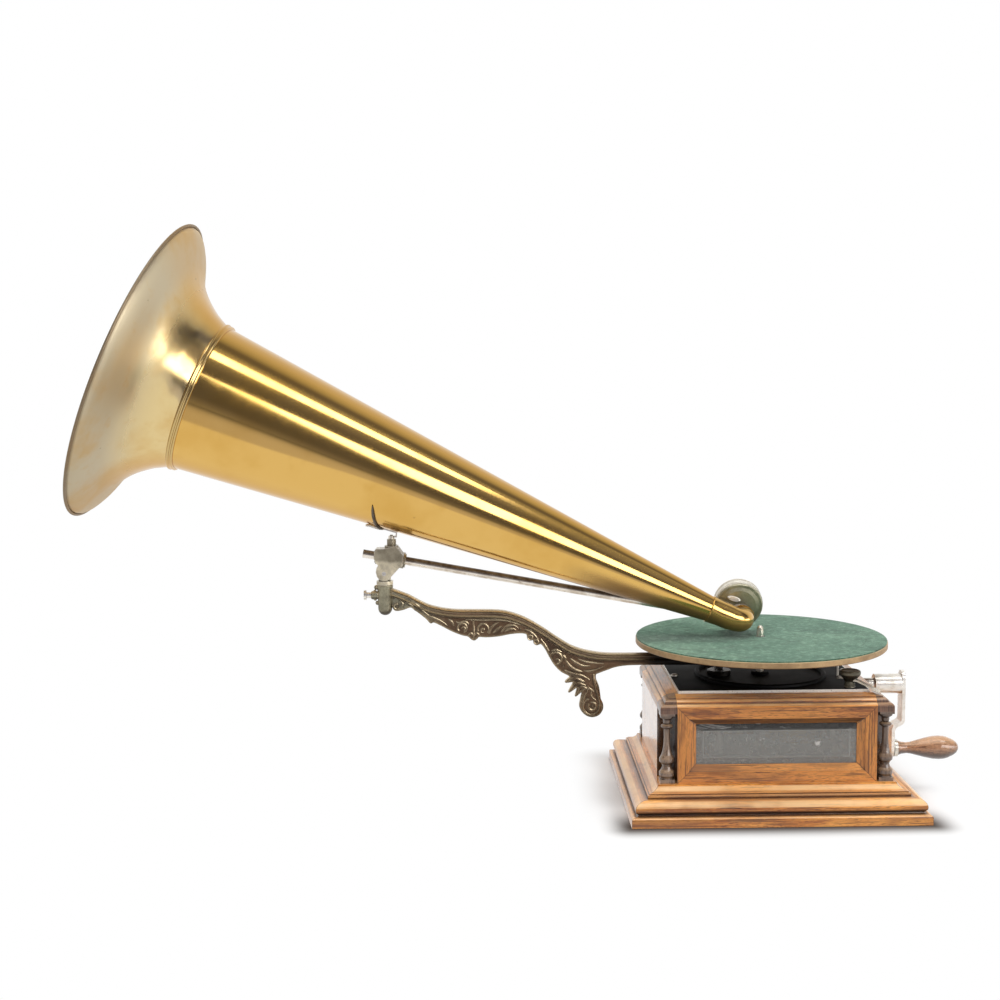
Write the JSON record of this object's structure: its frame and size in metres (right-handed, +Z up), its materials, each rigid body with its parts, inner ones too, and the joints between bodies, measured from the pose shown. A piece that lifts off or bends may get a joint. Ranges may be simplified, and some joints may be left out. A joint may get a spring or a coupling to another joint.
{
  "type": "gramophone",
  "caption": "Front mount disc gramophone with a glazed moulded case, turned corner columns, a cast scroll bracket and a flared brass horn.",
  "frame": {"origin": "middle of the underside of the plinth, below the turntable axis", "axes": "+X towards the crank, -X towards the horn mouth, -Y towards the front window, +Z up"},
  "size_m": [0.8972, 0.3138, 0.58],
  "materials": {
    "oak": "polished",
    "oak_plain": "matte",
    "window_glass": "clear",
    "dark_oak": "satin",
    "end_oak": "satin",
    "ebonised": "gloss",
    "bright_steel": "bright",
    "nickel": "worn",
    "japanned": "satin",
    "bronzed_iron": "worn",
    "grey_iron": "worn",
    "horn_brass": "polished",
    "grey_metal": "dull",
    "gasket": "matte",
    "mica": "clear",
    "handle_wood": "polished",
    "motor_iron": "satin",
    "motor_brass": "satin",
    "spring_steel": "oiled",
    "rim_metal": "worn",
    "felt": "matte"
  },
  "bodies": {
    "case": {"plinth": "oak", "window_frame_front": "oak", "window_frame_back": "oak", "cornice_front": "oak", "cornice_back": "oak", "cornice_left": "oak", "cornice_right": "oak", "side_panel_left": "oak", "side_panel_right": "oak", "floor_board": "oak_plain", "window_glass_front": "window_glass", "window_glass_back": "window_glass", "column_front_left": "dark_oak", "column_front_right": "dark_oak", "column_back_left": "dark_oak", "column_back_right": "dark_oak", "cornice_block_front_left": "end_oak", "cornice_block_front_right": "end_oak", "cornice_block_back_left": "end_oak", "cornice_block_back_right": "end_oak", "motor_board": "ebonised", "board_screws": "bright_steel", "crank_bush": "bright_steel", "brake_post": "japanned", "support_arm": "bronzed_iron", "motor_plate": "motor_iron", "motor_pillars": "nickel"},
    "turntable": {"turntable_spindle": "nickel", "spindle_wheel": "motor_brass", "platter": "rim_metal", "platter_felt": "felt"},
    "barrel": {"spring_barrel": "motor_brass", "mainspring": "spring_steel"},
    "governor": {"governor_spindle": "nickel", "governor_weights": "motor_brass", "governor_disc": "motor_brass"},
    "crank": {"crank_shaft": "nickel", "crank_arm": "nickel"},
    "winding": {"winding_arbor": "nickel"},
    "handle": {"crank_ferrule": "bright_steel", "crank_handle": "handle_wood"},
    "brake": {"brake_lever": "nickel"},
    "thumbscrew": {"arm_thumbscrew": "bright_steel"},
    "speed": {"speed_screw": "bright_steel"},
    "swivel": {"swivel_post": "grey_iron"},
    "head": {"swivel_head": "grey_iron", "pivot_screw": "bright_steel", "travelling_arm": "nickel", "horn_cone": "horn_brass", "joint_ring": "horn_brass", "horn_bell": "horn_brass", "horn_lug": "nickel", "horn_elbow": "horn_brass", "sound_box_back": "grey_metal", "sound_box_rim": "nickel", "sound_box_gaskets": "gasket", "diaphragm": "mica", "needle_bar": "bright_steel", "needle": "bright_steel"},
    "needle_clamp": {"needle_screw": "bright_steel"}
  },
  "joints": [
    {"name": "turntable_spin", "type": "hinge", "parent": "case", "child": "turntable", "pos_m": [0, 0, 0.1], "axis": [0, 0, 1], "continuous": true},
    {"name": "barrel_spin", "type": "hinge", "parent": "case", "child": "barrel", "pos_m": [0.036, 0, 0.08], "axis": [0, 0, 1], "continuous": true},
    {"name": "governor_spin", "type": "hinge", "parent": "case", "child": "governor", "pos_m": [-0.0278, 0.01605, 0.08], "axis": [0, 0, 1], "continuous": true},
    {"name": "crank_spin", "type": "hinge", "parent": "case", "child": "crank", "pos_m": [0.1, 0, 0.1093], "axis": [1, 0, 0], "continuous": true},
    {"name": "winding_spin", "type": "hinge", "parent": "case", "child": "winding", "pos_m": [0.036, 0, 0.08], "axis": [0, 0, 1], "continuous": true},
    {"name": "handle_spin", "type": "hinge", "parent": "crank", "child": "handle", "pos_m": [0.17, 0, 0.0415], "axis": [1, 0, 0], "continuous": true},
    {"name": "brake_tilt", "type": "hinge", "parent": "case", "child": "brake", "pos_m": [0.077, -0.064, 0.1294], "axis": [0.6428, 0.766, 0], "range_deg": [0, 1.8]},
    {"name": "thumbscrew_turn", "type": "hinge", "parent": "case", "child": "thumbscrew", "pos_m": [-0.395, 0, 0.2066], "axis": [-1, 0, 0], "range_deg": [0, 90]},
    {"name": "speed_turn", "type": "hinge", "parent": "case", "child": "speed", "pos_m": [-0.0448, 0.021, 0.1], "axis": [0, 0, 1], "range_deg": [-120, 120]},
    {"name": "horn_swing", "type": "hinge", "parent": "case", "child": "swivel", "pos_m": [-0.383, 0, 0.2], "axis": [0, 0, 1], "range_deg": [-1, 20]},
    {"name": "horn_lift", "type": "hinge", "parent": "swivel", "child": "head", "pos_m": [-0.383, 0, 0.2295], "axis": [-0.03, -0.9995, 0], "range_deg": [0, 30]},
    {"name": "needle_screw_turn", "type": "hinge", "parent": "head", "child": "needle_clamp", "pos_m": [-0.01846, 0.03927, 0.16694], "axis": [0.0294, 0.9777, 0.2079], "range_deg": [0, 120]}
  ],
  "couplings": [
    {"joint": "barrel_spin", "follows": "turntable_spin", "ratio": -0.16667},
    {"joint": "governor_spin", "follows": "turntable_spin", "ratio": -8.7273},
    {"joint": "winding_spin", "follows": "crank_spin", "ratio": 0.41667}
  ]
}
